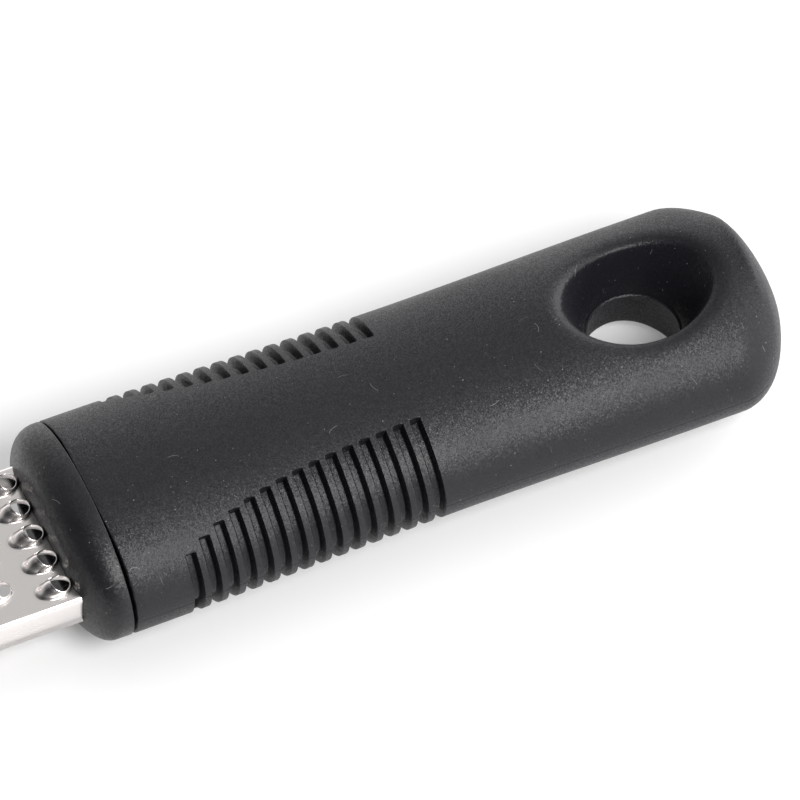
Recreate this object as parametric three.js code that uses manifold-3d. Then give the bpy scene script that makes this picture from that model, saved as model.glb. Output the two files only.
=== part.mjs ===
// Hand-held cheese grater. A toothed stainless blade carries a flat tang, which is pinned
// in a stiff plastic core. A collar closes the front of the handle around the blade, and a
// soft grooved grip with a hanging hole is pulled over the core.
// Millimetres, +Z up, +X from the blade's tip towards the butt. The origin lies on the
// resting surface, under the middle of the whole tool.
import * as THREE from 'three';
import { mergeVertices } from 'three/addons/utils/BufferGeometryUtils.js';
import Module from 'manifold-3d';

const wasm = await Module();
wasm.setup();

// Fits between the pieces
const CLEARANCE = 0.3;
const SEAM_GAP = 0.4;

// Blade: a sheet with its rim turned down at the sides and around the tip
const BLADE_EXPOSED = 135;
const BLADE_WIDTH = 25.2;
const SHEET_THICKNESS = 0.6;
const RIM_HEIGHT = 5.2;
const BEND_INNER_RADIUS = 0.1;
const TIP_CORNER_RADIUS = 6;
const LEAST_CORNER_RADIUS = 0.05;
const SHEET_ABOVE_MIDPLANE = 2.2;
const TANG_WIDTH = 16;

// Teeth: punched up from an oval foot to a level oval mouth, which lies towards the handle
const TOOTH_LENGTH = 4.8;
const TOOTH_WIDTH = 3.5;
const TOOTH_HEIGHT = 1.2;
const TOOTH_WALL = 0.3;
const MOUTH_LENGTH = 2.6;
const MOUTH_WIDTH = 3.3;
const MOUTH_SHIFT = 1;
const MOUTH_TURN = 70;
const TOOTH_PITCH = 4.75;
const TOOTH_SIDE_MARGIN = 1.2;
const ROW_PITCH = 7.8;
const FIRST_ROW_GAP = 0.05;
const PLAIN_TIP = 12;

// Handle outside: oval sections, widest in front, with a slight waist
const HANDLE_LENGTH = 109.5;
const HANDLE_HEIGHT = 22.3;
const COLLAR_CHEEK = 5.15;
const WAIST_FROM_FRONT = 60;
const WAIST_START = 8;
const WAIST_DRAW = 0.95;
const BUTT_SWELL = 0.3;
const BUTT_SWELL_LENGTH = 32;
const BUTT_ROUND = 10.65;
const BUTT_ROUND_POWER = 1.82;
const BUTT_EDGE = 4;
const BUTT_EDGE_POWER = 1.4;

// Collar
const COLLAR_LENGTH = 5.95;
const COLLAR_ROUND = 5.3;
const COLLAR_ROUND_WIDTH = 8.5;
const COLLAR_ROUND_HEIGHT = 3.85;
const POCKET_FLOOR = 0.65;
const SPIGOT_LENGTH = 4;

// Grip sleeve, its grooves and its hanging hole
const SLEEVE_WALL = 3.7;
const GROOVE_COUNT = 15;
const GROOVE_FIRST = 15.75;
const GROOVE_PITCH = 2.605;
const GROOVE_WIDTH = 1.3;
const GROOVE_DEPTH = 1.6;
const GROOVE_TOP_INNER = 7.4;
const GROOVE_TOP_DROP = 7.1;
const GROOVE_TOP_FADE = 13;
const HOLE_FROM_BUTT = 20;
const HOLE_LENGTH = 21.2;
const HOLE_WIDTH = 16.9;
const HOLE_WAIST_DIAMETER = 13;
const HOLE_WAIST_SHIFT = 0.45;
const HOLE_UNDER_LENGTH = 15.6;
const HOLE_UNDER_WIDTH = 17.4;
const HOLE_UNDER_SHIFT = 0.3;
const HOLE_RIM_HEIGHT = 9;
const HOLE_FLARE_POWER = 1.35;
const HOLE_WALL = 4;

// Core and pins
const TANG_END_COVER = 14;
const PIN_DIAMETER = 4;
const PIN_INSET = 10;

// Facet counts
const OVAL_SIDES = 36;
const SLEEVE_RINGS = 8;
const ROUND_RINGS = 7;
const HOLE_SIDES = 28;
const HOLE_RINGS = 8;
const GROOVE_STEPS = 7;
const TOOTH_SIDES = 10;
const TOOTH_BANDS = 2;
const CORNER_STEPS = 5;
const BEND_STEPS = 3;
const PIN_SIDES = 20;

// Sizes that follow from the ones above. Pieces are laid out along x from the collar's front
// face and in z from the handle's mid-plane.
const handleHalfWidth = BLADE_WIDTH / 2 + COLLAR_CHEEK;
const handleHalfHeight = HANDLE_HEIGHT / 2;
const sleeveFront = COLLAR_LENGTH + SEAM_GAP;
const holeCentre = HANDLE_LENGTH - HOLE_FROM_BUTT;
const boreEnd = holeCentre - HOLE_LENGTH / 2 - HOLE_WALL;
const boreHalfWidth = handleHalfWidth - WAIST_DRAW - SLEEVE_WALL;
const boreHalfHeight = handleHalfHeight - WAIST_DRAW * HANDLE_HEIGHT / (2 * handleHalfWidth) - SLEEVE_WALL;
const coreHalfWidth = boreHalfWidth - CLEARANCE;
const coreHalfHeight = boreHalfHeight - CLEARANCE;
const spigotEnd = COLLAR_LENGTH + SPIGOT_LENGTH;
const coreFront = spigotEnd + CLEARANCE;
const coreEnd = boreEnd - CLEARANCE;
const tangEnd = coreEnd - TANG_END_COVER;
const pocketDepth = COLLAR_LENGTH - POCKET_FLOOR;
const rimEnd = pocketDepth - CLEARANCE;
const sheetTop = SHEET_ABOVE_MIDPLANE;
const sheetBottom = sheetTop - SHEET_THICKNESS;
const rimBottom = sheetTop - RIM_HEIGHT;
const pinPlaces = [coreFront + PIN_INSET, tangEnd - PIN_INSET];

// Closed solids and the cuts between them

// Turns a closed geometry into a solid, with shared corners merged and empty triangles left out.
function solid(geometry) {
  const bare = geometry.clone();
  bare.deleteAttribute('normal');
  bare.deleteAttribute('uv');
  const merged = mergeVertices(bare, 1e-5);
  const corners = Array.from(merged.index.array);
  const kept = [];
  for (let i = 0; i < corners.length; i += 3) {
    const [a, b, c] = corners.slice(i, i + 3);
    if (a !== b && b !== c && c !== a) kept.push(a, b, c);
  }
  return new wasm.Manifold(new wasm.Mesh({
    numProp: 3,
    vertProperties: new Float32Array(merged.attributes.position.array),
    triVerts: new Uint32Array(kept),
  }));
}

function piece(name, body, material) {
  const cut = body.getMesh();
  const geometry = new THREE.BufferGeometry();
  geometry.setAttribute('position', new THREE.BufferAttribute(new Float32Array(cut.vertProperties), 3));
  geometry.setIndex(new THREE.BufferAttribute(new Uint32Array(cut.triVerts), 1));
  geometry.computeVertexNormals();
  const mesh = new THREE.Mesh(geometry, material);
  mesh.name = name;
  return mesh;
}

// A closed skin over rings of equal count, which run counter-clockwise around their common
// direction, with a fan to a middle point at each end.
function loft(rings, startMiddle, endMiddle) {
  const count = rings[0].length;
  const points = [...rings.flat(), startMiddle, endMiddle];
  const first = rings.length * count;
  const last = first + 1;
  const index = [];
  for (let j = 0; j < count; j += 1) {
    const k = (j + 1) % count;
    for (let i = 0; i + 1 < rings.length; i += 1) {
      const a = i * count;
      const b = a + count;
      index.push(a + j, a + k, b + k, a + j, b + k, b + j);
    }
    const end = (rings.length - 1) * count;
    index.push(first, k, j, last, end + j, end + k);
  }
  const geometry = new THREE.BufferGeometry().setFromPoints(points);
  geometry.setIndex(index);
  return geometry;
}

function block(x0, x1, halfWidth, z0, z1) {
  const geometry = new THREE.BoxGeometry(x1 - x0, 2 * halfWidth, z1 - z0);
  return geometry.translate((x0 + x1) / 2, 0, (z0 + z1) / 2);
}

// An outline drawn in (y, z) and drawn out along x.
function drawnAlongX(outline, x0, x1) {
  const geometry = new THREE.ExtrudeGeometry(outline, { depth: x1 - x0, bevelEnabled: false });
  const yAxis = new THREE.Vector3(0, 1, 0);
  const zAxis = new THREE.Vector3(0, 0, 1);
  const xAxis = new THREE.Vector3(1, 0, 0);
  geometry.applyMatrix4(new THREE.Matrix4().makeBasis(yAxis, zAxis, xAxis));
  return geometry.translate(x0, 0, 0);
}

// An oval cross-section at x, with a facet's middle on each of its four outermost points.
function ovalRing(x, halfWidth, halfHeight) {
  const reach = 1 / Math.cos(Math.PI / OVAL_SIDES);
  const ring = [];
  for (let j = 0; j < OVAL_SIDES; j += 1) {
    const turn = ((j + 0.5) * 2 * Math.PI) / OVAL_SIDES;
    const y = halfWidth * reach * Math.cos(turn);
    const z = halfHeight * reach * Math.sin(turn);
    ring.push(new THREE.Vector3(x, y, z));
  }
  return ring;
}

function ovalBar(x0, x1, halfWidth, halfHeight) {
  const rings = [ovalRing(x0, halfWidth, halfHeight), ovalRing(x1, halfWidth, halfHeight)];
  return loft(rings, new THREE.Vector3(x0, 0, 0), new THREE.Vector3(x1, 0, 0));
}

function pinBar(x, diameter, halfLength) {
  const geometry = new THREE.CylinderGeometry(diameter / 2, diameter / 2, 2 * halfLength, PIN_SIDES);
  return geometry.rotateX(Math.PI / 2).translate(x, 0, 0);
}

// How far the handle's side lies inside its widest section: a waist, then a slight swell.
function drawnIn(x) {
  const waist = WAIST_DRAW * THREE.MathUtils.smoothstep(x, WAIST_START, WAIST_FROM_FRONT);
  const swellEnd = WAIST_FROM_FRONT + BUTT_SWELL_LENGTH;
  return waist - BUTT_SWELL * THREE.MathUtils.smoothstep(x, WAIST_FROM_FRONT, swellEnd);
}

function outerHalfWidth(x) {
  return handleHalfWidth - drawnIn(x);
}

function outerHalfHeight(x) {
  return handleHalfHeight * (1 - drawnIn(x) / handleHalfWidth);
}

// Blade

// The rim's plan outline, drawn in by inset: a straight back at x1 and two rounded tip corners.
function rimRing(x1, halfWidth, inset, z) {
  const drawn = BLADE_WIDTH / 2 - halfWidth + inset;
  const radius = Math.max(TIP_CORNER_RADIUS - drawn, LEAST_CORNER_RADIUS);
  const side = halfWidth - inset;
  const tip = drawn - BLADE_EXPOSED;
  const ring = [new THREE.Vector3(x1, -side, z), new THREE.Vector3(x1, side, z)];
  for (const [hand, from] of [[1, Math.PI / 2], [-1, Math.PI]]) {
    for (let k = 0; k <= CORNER_STEPS; k += 1) {
      const turn = from + ((Math.PI / 2) * k) / CORNER_STEPS;
      const x = tip + radius + radius * Math.cos(turn);
      const y = hand * (side - radius) + radius * Math.sin(turn);
      ring.push(new THREE.Vector3(x, y, z));
    }
  }
  return ring;
}

// A tray upside down: straight walls from z0, bent over with the given radius into a flat top.
function trayForm(x1, halfWidth, bend, z0, top) {
  const rings = [rimRing(x1, halfWidth, 0, z0)];
  for (let k = 0; k <= BEND_STEPS; k += 1) {
    const turn = ((Math.PI / 2) * k) / BEND_STEPS;
    const inset = bend * (1 - Math.cos(turn));
    rings.push(rimRing(x1, halfWidth, inset, top - bend + bend * Math.sin(turn)));
  }
  const middle = (x1 - BLADE_EXPOSED) / 2;
  return loft(rings, new THREE.Vector3(middle, 0, z0), new THREE.Vector3(middle, 0, top));
}

// A ring of a tooth at z, the given share of the way from its foot's oval to its mouth's oval.
function toothRing(share, wall, z) {
  const halfLength = THREE.MathUtils.lerp(TOOTH_LENGTH, MOUTH_LENGTH, share) / 2 - wall;
  const halfWidth = THREE.MathUtils.lerp(TOOTH_WIDTH, MOUTH_WIDTH, share) / 2 - wall;
  const ring = [];
  for (let j = 0; j < TOOTH_SIDES; j += 1) {
    const turn = (2 * Math.PI * j) / TOOTH_SIDES;
    const x = MOUTH_SHIFT * share + halfLength * Math.cos(turn);
    ring.push(new THREE.Vector3(x, halfWidth * Math.sin(turn), z));
  }
  return ring;
}

// A tooth's outside, or its hollow when drawn in by the wall. From a straight skirt its rings draw in to
// the mouth along part of a quarter circle, and go straight up from there.
function toothForm(wall, skirt, above) {
  const rings = [toothRing(0, wall, -skirt)];
  const full = THREE.MathUtils.degToRad(MOUTH_TURN);
  for (let k = 0; k <= TOOTH_BANDS; k += 1) {
    const turn = (full * k) / TOOTH_BANDS;
    const share = (1 - Math.cos(turn)) / (1 - Math.cos(full));
    rings.push(toothRing(share, wall, ((TOOTH_HEIGHT - wall) * Math.sin(turn)) / Math.sin(full)));
  }
  if (above > 0) rings.push(toothRing(1, wall, TOOTH_HEIGHT + above));
  const top = rings[rings.length - 1][0].z;
  return loft(rings, new THREE.Vector3(0, 0, -skirt), new THREE.Vector3(MOUTH_SHIFT, 0, top));
}

// Middles of the teeth, in rows that are staggered by half a pitch.
function toothPlaces() {
  const across = BLADE_WIDTH - 2 * TOOTH_SIDE_MARGIN - TOOTH_WIDTH;
  const fullRow = Math.floor(across / TOOTH_PITCH) + 1;
  const firstX = -FIRST_ROW_GAP - TOOTH_LENGTH / 2;
  const rowRoom = BLADE_EXPOSED - PLAIN_TIP - TOOTH_LENGTH / 2 + firstX;
  const rows = Math.floor(rowRoom / ROW_PITCH) + 1;
  const places = [];
  for (let row = 0; row < rows; row += 1) {
    const inRow = fullRow - (row % 2);
    for (let i = 0; i < inRow; i += 1) {
      const y = (i - (inRow - 1) / 2) * TOOTH_PITCH;
      places.push(new THREE.Vector3(firstX - row * ROW_PITCH, y, sheetTop));
    }
  }
  return places;
}

function graterBlade() {
  const outerBend = BEND_INNER_RADIUS + SHEET_THICKNESS;
  const inside = BLADE_WIDTH / 2 - SHEET_THICKNESS;
  const openEnd = rimEnd + SHEET_THICKNESS;
  const below = rimBottom - SHEET_THICKNESS;
  let body = solid(trayForm(rimEnd, BLADE_WIDTH / 2, outerBend, rimBottom, sheetTop))
    .subtract(solid(trayForm(openEnd, inside, BEND_INNER_RADIUS, below, sheetBottom)))
    .add(solid(block(rimEnd - SHEET_THICKNESS, tangEnd, TANG_WIDTH / 2, sheetBottom, sheetTop)));
  for (const x of pinPlaces) {
    body = body.subtract(solid(pinBar(x, PIN_DIAMETER + 2 * CLEARANCE, handleHalfHeight)));
  }
  const shell = toothForm(0, SHEET_THICKNESS / 2, 0);
  const hollow = toothForm(TOOTH_WALL, 2 * SHEET_THICKNESS, SHEET_THICKNESS);
  for (const at of toothPlaces()) {
    body = body
      .add(solid(shell.clone().translate(at.x, at.y, at.z)))
      .subtract(solid(hollow.clone().translate(at.x, at.y, at.z)));
  }
  return body;
}

// Front collar: an oval head with a rounded front edge, a pocket for the blade's end, a spigot
// that fills the mouth of the grip, and a slit for the tang.
function frontCollar() {
  const round = Math.min(COLLAR_ROUND, COLLAR_LENGTH - POCKET_FLOOR);
  const rings = [];
  for (let k = 0; k <= ROUND_RINGS; k += 1) {
    const turn = ((Math.PI / 2) * k) / ROUND_RINGS;
    const inset = 1 - Math.sin(turn);
    const x = round * (1 - Math.cos(turn));
    const halfWidth = handleHalfWidth - COLLAR_ROUND_WIDTH * inset;
    rings.push(ovalRing(x, halfWidth, handleHalfHeight - COLLAR_ROUND_HEIGHT * inset));
  }
  rings.push(ovalRing(COLLAR_LENGTH, handleHalfWidth, handleHalfHeight));
  const head = loft(rings, new THREE.Vector3(0, 0, 0), new THREE.Vector3(COLLAR_LENGTH, 0, 0));
  const spigot = ovalBar(rimEnd, spigotEnd, coreHalfWidth, coreHalfHeight);
  const pocketHalf = BLADE_WIDTH / 2 + CLEARANCE;
  const pocket = block(-COLLAR_LENGTH, pocketDepth, pocketHalf, rimBottom - CLEARANCE, sheetTop + CLEARANCE);
  return solid(head).add(solid(spigot)).subtract(solid(pocket)).subtract(solid(tangSlit(0)));
}

// The slit that the tang slides into, from x0 to just past the tang's end.
function tangSlit(x0) {
  const half = TANG_WIDTH / 2 + CLEARANCE;
  return block(x0, tangEnd + CLEARANCE, half, sheetBottom - CLEARANCE, sheetTop + CLEARANCE);
}

// Core: an oval bar with the tang's slit and two cross holes for the pins.
function handleCore() {
  let body = solid(ovalBar(coreFront, coreEnd, coreHalfWidth, coreHalfHeight)).subtract(solid(tangSlit(0)));
  for (const x of pinPlaces) {
    body = body.subtract(solid(pinBar(x, PIN_DIAMETER + 2 * CLEARANCE, handleHalfHeight)));
  }
  return body;
}

// Grip sleeve

// Share of the full section that is left at a distance from the butt's end, for a rounding of
// the given length. A power of 2 gives a quarter of an ellipse, and 1 gives a wedge.
function rounded(fromEnd, length, power) {
  const past = Math.max(1 - fromEnd / length, 0);
  return (1 - past ** power) ** (1 / power);
}

// The handle's outside behind the seam, closed by a butt that is rounded in plan and in height.
function sleeveForm() {
  const rings = [];
  const straightEnd = HANDLE_LENGTH - BUTT_ROUND;
  for (let i = 0; i < SLEEVE_RINGS; i += 1) {
    const x = THREE.MathUtils.lerp(sleeveFront, straightEnd, i / SLEEVE_RINGS);
    rings.push(ovalRing(x, outerHalfWidth(x), outerHalfHeight(x)));
  }
  for (let k = 0; k < ROUND_RINGS; k += 1) {
    const turn = ((Math.PI / 2) * k) / ROUND_RINGS;
    const x = straightEnd + BUTT_ROUND * Math.sin(turn);
    const widthShare = rounded(HANDLE_LENGTH - x, BUTT_ROUND, BUTT_ROUND_POWER);
    const heightShare = rounded(HANDLE_LENGTH - x, BUTT_EDGE, BUTT_EDGE_POWER);
    rings.push(ovalRing(x, outerHalfWidth(x) * widthShare, outerHalfHeight(x) * heightShare));
  }
  return loft(rings, new THREE.Vector3(sleeveFront, 0, 0), new THREE.Vector3(HANDLE_LENGTH, 0, 0));
}

// One finger groove on the side given by hand: a band that lies outside the groove's floor and
// wraps from the underside to the top, where it ends squarely.
function groove(x, hand) {
  const halfWidth = outerHalfWidth(x);
  const halfHeight = outerHalfHeight(x);
  const topAt = GROOVE_TOP_INNER + GROOVE_TOP_DROP * Math.exp((GROOVE_FIRST - x) / GROOVE_TOP_FADE);
  const reach = Math.acos(Math.min(topAt / halfWidth, 1));
  const outline = new THREE.Shape();
  const trace = (offset, from, to) => {
    for (let k = 0; k <= GROOVE_STEPS; k += 1) {
      const turn = THREE.MathUtils.lerp(from, to, k / GROOVE_STEPS);
      const y = hand * (halfWidth + offset) * Math.cos(turn);
      const z = (halfHeight + offset) * Math.sin(turn);
      if (offset < 0 && k === 0) outline.moveTo(y, z);
      else outline.lineTo(y, z);
    }
  };
  trace(-GROOVE_DEPTH, -reach, reach);
  trace(GROOVE_DEPTH, reach, -reach);
  outline.closePath();
  return drawnAlongX(outline, x - GROOVE_WIDTH / 2, x + GROOVE_WIDTH / 2);
}

// The hanging hole: round at the mid-plane, flaring to a long oval above and a cross oval below.
function hangingHole() {
  const waist = HOLE_WAIST_DIAMETER / 2;
  const reach = handleHalfHeight + CLEARANCE;
  const above = { length: HOLE_LENGTH, width: HOLE_WIDTH, shift: 0 };
  const below = { length: HOLE_UNDER_LENGTH, width: HOLE_UNDER_WIDTH, shift: HOLE_UNDER_SHIFT };
  const rings = [];
  for (let i = 0; i <= HOLE_RINGS; i += 1) {
    const z = THREE.MathUtils.lerp(-reach, reach, i / HOLE_RINGS);
    const mouth = z > 0 ? above : below;
    const flare = (Math.abs(z) / HOLE_RIM_HEIGHT) ** HOLE_FLARE_POWER;
    const shift = THREE.MathUtils.lerp(HOLE_WAIST_SHIFT, mouth.shift, Math.min(flare, 1));
    const halfLength = THREE.MathUtils.lerp(waist, mouth.length / 2, flare);
    const halfWidth = THREE.MathUtils.lerp(waist, mouth.width / 2, flare);
    const ring = [];
    for (let j = 0; j < HOLE_SIDES; j += 1) {
      const turn = (2 * Math.PI * j) / HOLE_SIDES;
      const x = holeCentre - shift + halfLength * Math.cos(turn);
      ring.push(new THREE.Vector3(x, halfWidth * Math.sin(turn), z));
    }
    rings.push(ring);
  }
  return loft(rings, new THREE.Vector3(holeCentre, 0, -reach), new THREE.Vector3(holeCentre, 0, reach));
}

function gripSleeve() {
  const bore = ovalBar(sleeveFront - COLLAR_LENGTH, boreEnd, boreHalfWidth, boreHalfHeight);
  let body = solid(sleeveForm()).subtract(solid(bore)).subtract(solid(hangingHole()));
  for (let i = 0; i < GROOVE_COUNT; i += 1) {
    const x = GROOVE_FIRST + i * GROOVE_PITCH;
    body = body.subtract(solid(groove(x, -1))).subtract(solid(groove(x, 1)));
  }
  return body;
}

const steel = new THREE.MeshStandardMaterial({ color: 0xc8cacc, roughness: 0.25, metalness: 1 });
const pinSteel = new THREE.MeshStandardMaterial({ color: 0xa9abad, roughness: 0.4, metalness: 1 });
const collarPlastic = new THREE.MeshStandardMaterial({ color: 0x1f2022, roughness: 0.62, metalness: 0 });
const corePlastic = new THREE.MeshStandardMaterial({ color: 0x2b2c2e, roughness: 0.5, metalness: 0 });
const softGrip = new THREE.MeshStandardMaterial({ color: 0x1b1c1e, roughness: 0.75, metalness: 0 });

const grater = new THREE.Group();
grater.add(
  piece('grater_blade', graterBlade(), steel),
  piece('front_collar', frontCollar(), collarPlastic),
  piece('handle_core', handleCore(), corePlastic),
  piece('tang_pin_front', solid(pinBar(pinPlaces[0], PIN_DIAMETER, coreHalfHeight)), pinSteel),
  piece('tang_pin_rear', solid(pinBar(pinPlaces[1], PIN_DIAMETER, coreHalfHeight)), pinSteel.clone()),
  piece('grip_sleeve', gripSleeve(), softGrip),
);
grater.position.set((BLADE_EXPOSED - HANDLE_LENGTH) / 2, 0, handleHalfHeight);

export default grater;
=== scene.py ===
"""Hand-held cheese grater: a toothed steel blade pinned in a core, a collar and a soft grooved grip."""

import bmesh
import bpy
import numpy as np
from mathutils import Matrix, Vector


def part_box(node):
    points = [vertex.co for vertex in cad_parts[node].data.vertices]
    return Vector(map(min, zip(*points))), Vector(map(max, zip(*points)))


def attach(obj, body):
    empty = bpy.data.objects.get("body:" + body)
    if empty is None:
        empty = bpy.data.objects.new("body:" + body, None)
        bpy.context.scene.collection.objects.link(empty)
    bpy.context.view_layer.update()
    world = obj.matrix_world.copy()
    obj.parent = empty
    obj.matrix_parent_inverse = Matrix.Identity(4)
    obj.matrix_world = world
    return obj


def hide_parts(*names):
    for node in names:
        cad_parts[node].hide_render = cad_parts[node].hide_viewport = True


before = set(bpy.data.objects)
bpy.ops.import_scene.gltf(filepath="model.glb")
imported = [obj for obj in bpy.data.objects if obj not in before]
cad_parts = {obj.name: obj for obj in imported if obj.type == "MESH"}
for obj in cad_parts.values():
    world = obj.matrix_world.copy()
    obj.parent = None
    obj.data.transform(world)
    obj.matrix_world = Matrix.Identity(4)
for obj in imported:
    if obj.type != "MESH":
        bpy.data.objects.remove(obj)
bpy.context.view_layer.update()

# Grater blade: one strip of stainless sheet, 0.6 mm thick. Its teeth are punched up to oval mouths that
# lean towards the handle, its rim is turned down around the tip and both sides, and a flat tang runs back
# into the handle. The sizes of all pieces are in millimetres and angles in degrees.
MM = 0.001
MERGE_DISTANCE = 0.002
CLEARANCE = 0.3
SHEET = 0.6
RIM_DROP = 5.2
RIM_BACK = 5.0
BEND_INNER = 0.2
BEND_STEPS = 9
EDGE_BREAK = 0.06
TIP_CORNER = 6.0
CORNER_STEPS = 9
TOOTH_LENGTH = 4.8
TOOTH_WIDTH = 3.3
TOOTH_HEIGHT = 1.2
TOOTH_WALL = 0.15
LIP_CROWN = 0.05
FOOT_TURN, MOUTH_TURN = 28.0, 78.0
FLARE_SIDE, FLARE_END, FLARE_HEIGHT, FLARE_UNDER = 0.2, 0.6, 0.5, 0.2
MOUTH_LENGTH = 2.85
MOUTH_WIDTH = 3.0
MOUTH_SHIFT = 0.9
MOUTH_DIP = 0.35
MOUTH_LEAN = 0.25
TEETH_IN_ROW = 5
TOOTH_PITCH = 4.75
ROW_COUNT = 16
ROW_PITCH = 7.8
FIRST_ROW_GAP = 0.05
CELL_STEPS = 8
BACK_STEPS, TIP_STEPS = 3, 7
TANG_WIDTH = 16.0
TANG_FIRST_LINE = 7
PIN_CELL, PIN_CELL_STEPS = 8.0, 4


def node_box(name):
    """Lowest and highest corner of a CAD node, in millimetres."""
    low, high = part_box(name)
    return np.array(low) / MM, np.array(high) / MM


def blend(a, b, share):
    """The point that lies the given share of the way from a to b."""
    return a + (b - a) * share


def grid_faces(rows, columns, closed):
    """Quads of a grid that is numbered row by row; closed joins the last column to the first."""
    row_start = np.arange(rows - 1)[:, None] * columns
    next_start = row_start + columns
    j = np.arange(columns if closed else columns - 1)[None, :]
    k = (j + 1) % columns
    corners = np.broadcast_arrays(row_start + j, row_start + k, next_start + k, next_start + j)
    return np.stack(corners, -1).reshape(-1, 4)


def joined(grids):
    """Points and quads of several grids, each given as its rows of points and whether it is closed."""
    points, quads, start = [], [], 0
    for rows, closed in grids:
        points.append(rows.reshape(-1, 3))
        quads.append(grid_faces(*rows.shape[:2], closed) + start)
        start += len(points[-1])
    return np.concatenate(points), np.concatenate(quads)


def skin(name, points, quads, sharp_angle):
    """A closed piece from points in the handle's millimetres. Seams and poles, where points repeat, are
    merged, faces are turned outwards, and edges that bend more than the sharp angle stay crisp."""
    mesh = bpy.data.meshes.new(name)
    mesh.from_pydata(((points + HANDLE_ORIGIN) * MM).tolist(), [], quads.tolist())
    work = bmesh.new()
    work.from_mesh(mesh)
    bmesh.ops.remove_doubles(work, verts=work.verts, dist=MERGE_DISTANCE * MM)
    bmesh.ops.recalc_face_normals(work, faces=work.faces)
    work.to_mesh(mesh)
    work.free()
    mesh.shade_smooth()
    mesh.set_sharp_from_angle(angle=np.radians(sharp_angle))
    piece = bpy.data.objects.new(name, mesh)
    bpy.context.scene.collection.objects.link(piece)
    return piece


collar_low, collar_high = node_box("front_collar")
core_low, core_high = node_box("handle_core")
blade_low, blade_high = node_box("grater_blade")
# Pieces are worked out with x from the collar's front face and z from the handle's mid-plane.
HANDLE_ORIGIN = np.array([collar_low[0], 0.0, (collar_low[2] + collar_high[2]) / 2])
sheet_top = blade_low[2] + RIM_DROP - HANDLE_ORIGIN[2]
tip_x = blade_low[0] - HANDLE_ORIGIN[0]
tang_end = blade_high[0] - HANDLE_ORIGIN[0]
bend_outer = BEND_INNER + SHEET
flat_side = blade_high[1] - bend_outer
first_row = -FIRST_ROW_GAP - TOOTH_LENGTH / 2

# Lines along the blade, shared by all cells of the sheet: even steps between the middles of a row's outer
# teeth, and half a cell's steps in the margin beyond them.
half_cell = CELL_STEPS // 2
outer_tooth = (TEETH_IN_ROW - 1) // 2 * CELL_STEPS
middle_lines = np.arange(-outer_tooth, outer_tooth + 1) * TOOTH_PITCH / CELL_STEPS
margin_lines = np.linspace(middle_lines[-1], flat_side, half_cell + 1)[1:]
sheet_lines = np.concatenate([-margin_lines[::-1], middle_lines, margin_lines])


def lattice(xs, ys):
    """Places in plan at each crossing of the given xs and ys."""
    return np.stack(np.meshgrid(xs, ys, indexing="ij"), -1)


def cell_outline(xs, ys):
    """A rectangle's outline as one loop of places, counter-clockwise, divided at the given xs and ys."""
    south = np.stack([xs[:-1], np.full(len(xs) - 1, ys[0])], -1)
    east = np.stack([np.full(len(ys) - 1, xs[-1]), ys[:-1]], -1)
    north = np.stack([xs[:0:-1], np.full(len(xs) - 1, ys[-1])], -1)
    west = np.stack([np.full(len(ys) - 1, xs[0]), ys[:0:-1]], -1)
    return np.concatenate([south, east, north, west])


def at_height(places, z):
    """Points over places in plan, all at one height or each at its own."""
    return np.column_stack([places, np.broadcast_to(z, len(places))])


def tooth_cell(outline, x0, y0):
    """Rows of points from a cell's outline on the sheet's top, up a tooth, over its lip, down inside it
    and out to the same outline on the sheet's underside. The flare, by which the sheet curves into the
    tooth, grows from the sides to the closed end by the cosine squared."""
    turn = np.arctan2((outline[:, 1] - y0) / TOOTH_WIDTH, (outline[:, 0] - x0) / TOOTH_LENGTH)
    flare = blend(FLARE_SIDE, FLARE_END, np.clip(-np.cos(turn), 0, 1) ** 2)

    def ring(share, spread, z):
        """The oval at a share of the way from foot to mouth, spread outwards evenly, at height z, which
        dips at both sides by the sine squared and leans to the handle by the cosine."""
        half_length = blend(TOOTH_LENGTH, MOUTH_LENGTH, share) / 2 + spread
        half_width = blend(TOOTH_WIDTH, MOUTH_WIDTH, share) / 2 + spread
        x = x0 + MOUTH_SHIFT * share + half_length * np.cos(turn)
        dip = max(z, 0) * (MOUTH_DIP * np.sin(turn) ** 2 + MOUTH_LEAN * np.cos(turn))
        return at_height(np.column_stack([x, y0 + half_width * np.sin(turn)]), z - dip)

    def wall(steps, inset):
        """Rings of the tooth's outside, or of its inside when drawn in by the inset. They go from foot to
        mouth along part of a circle, the loss of cosine across and the gain of sine up. The flare fades by
        one minus the root of the height's share of the flare's height, squared."""
        foot, mouth = np.radians([FOOT_TURN, MOUTH_TURN])
        rings = []
        for angle in blend(foot, mouth, np.array(steps)):
            share = (np.cos(foot) - np.cos(angle)) / (np.cos(foot) - np.cos(mouth))
            rise = (np.sin(angle) - np.sin(foot)) / (np.sin(mouth) - np.sin(foot))
            z = (TOOTH_HEIGHT - inset) * rise
            spread = flare * (1 - np.sqrt(min(z / FLARE_HEIGHT, 1))) ** 2
            rings.append(ring(share, spread - inset, z))
        return rings

    top, bottom = at_height(outline, 0), at_height(outline, -SHEET)
    outside = wall((0, 0.01, 0.03, 0.06, 0.1, 0.15, 0.22, 0.3, 0.4, 0.5, 0.62, 0.75, 0.88, 1), 0)
    inside = [ring(1, -TOOTH_WALL, TOOTH_HEIGHT), *wall((1, 0.85, 0.65, 0.4, 0.2, 0), TOOTH_WALL)]
    lip = [blend(outside[-1], inside[0], share) + [0, 0, LIP_CROWN * rise]
           for share, rise in ((0.2, 0.7), (0.5, 1.0), (0.8, 0.7))]
    under = [ring(0, flare + FLARE_UNDER * share ** 2 - TOOTH_WALL, -SHEET * share)
             for share in (0.5, 0.8, 1)]
    approach = blend(top, outside[0], 0.6)
    leave = blend(under[-1], bottom, 0.4)
    return np.stack([top, approach, *outside, *lip, *inside, *under, leave, bottom])


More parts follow.
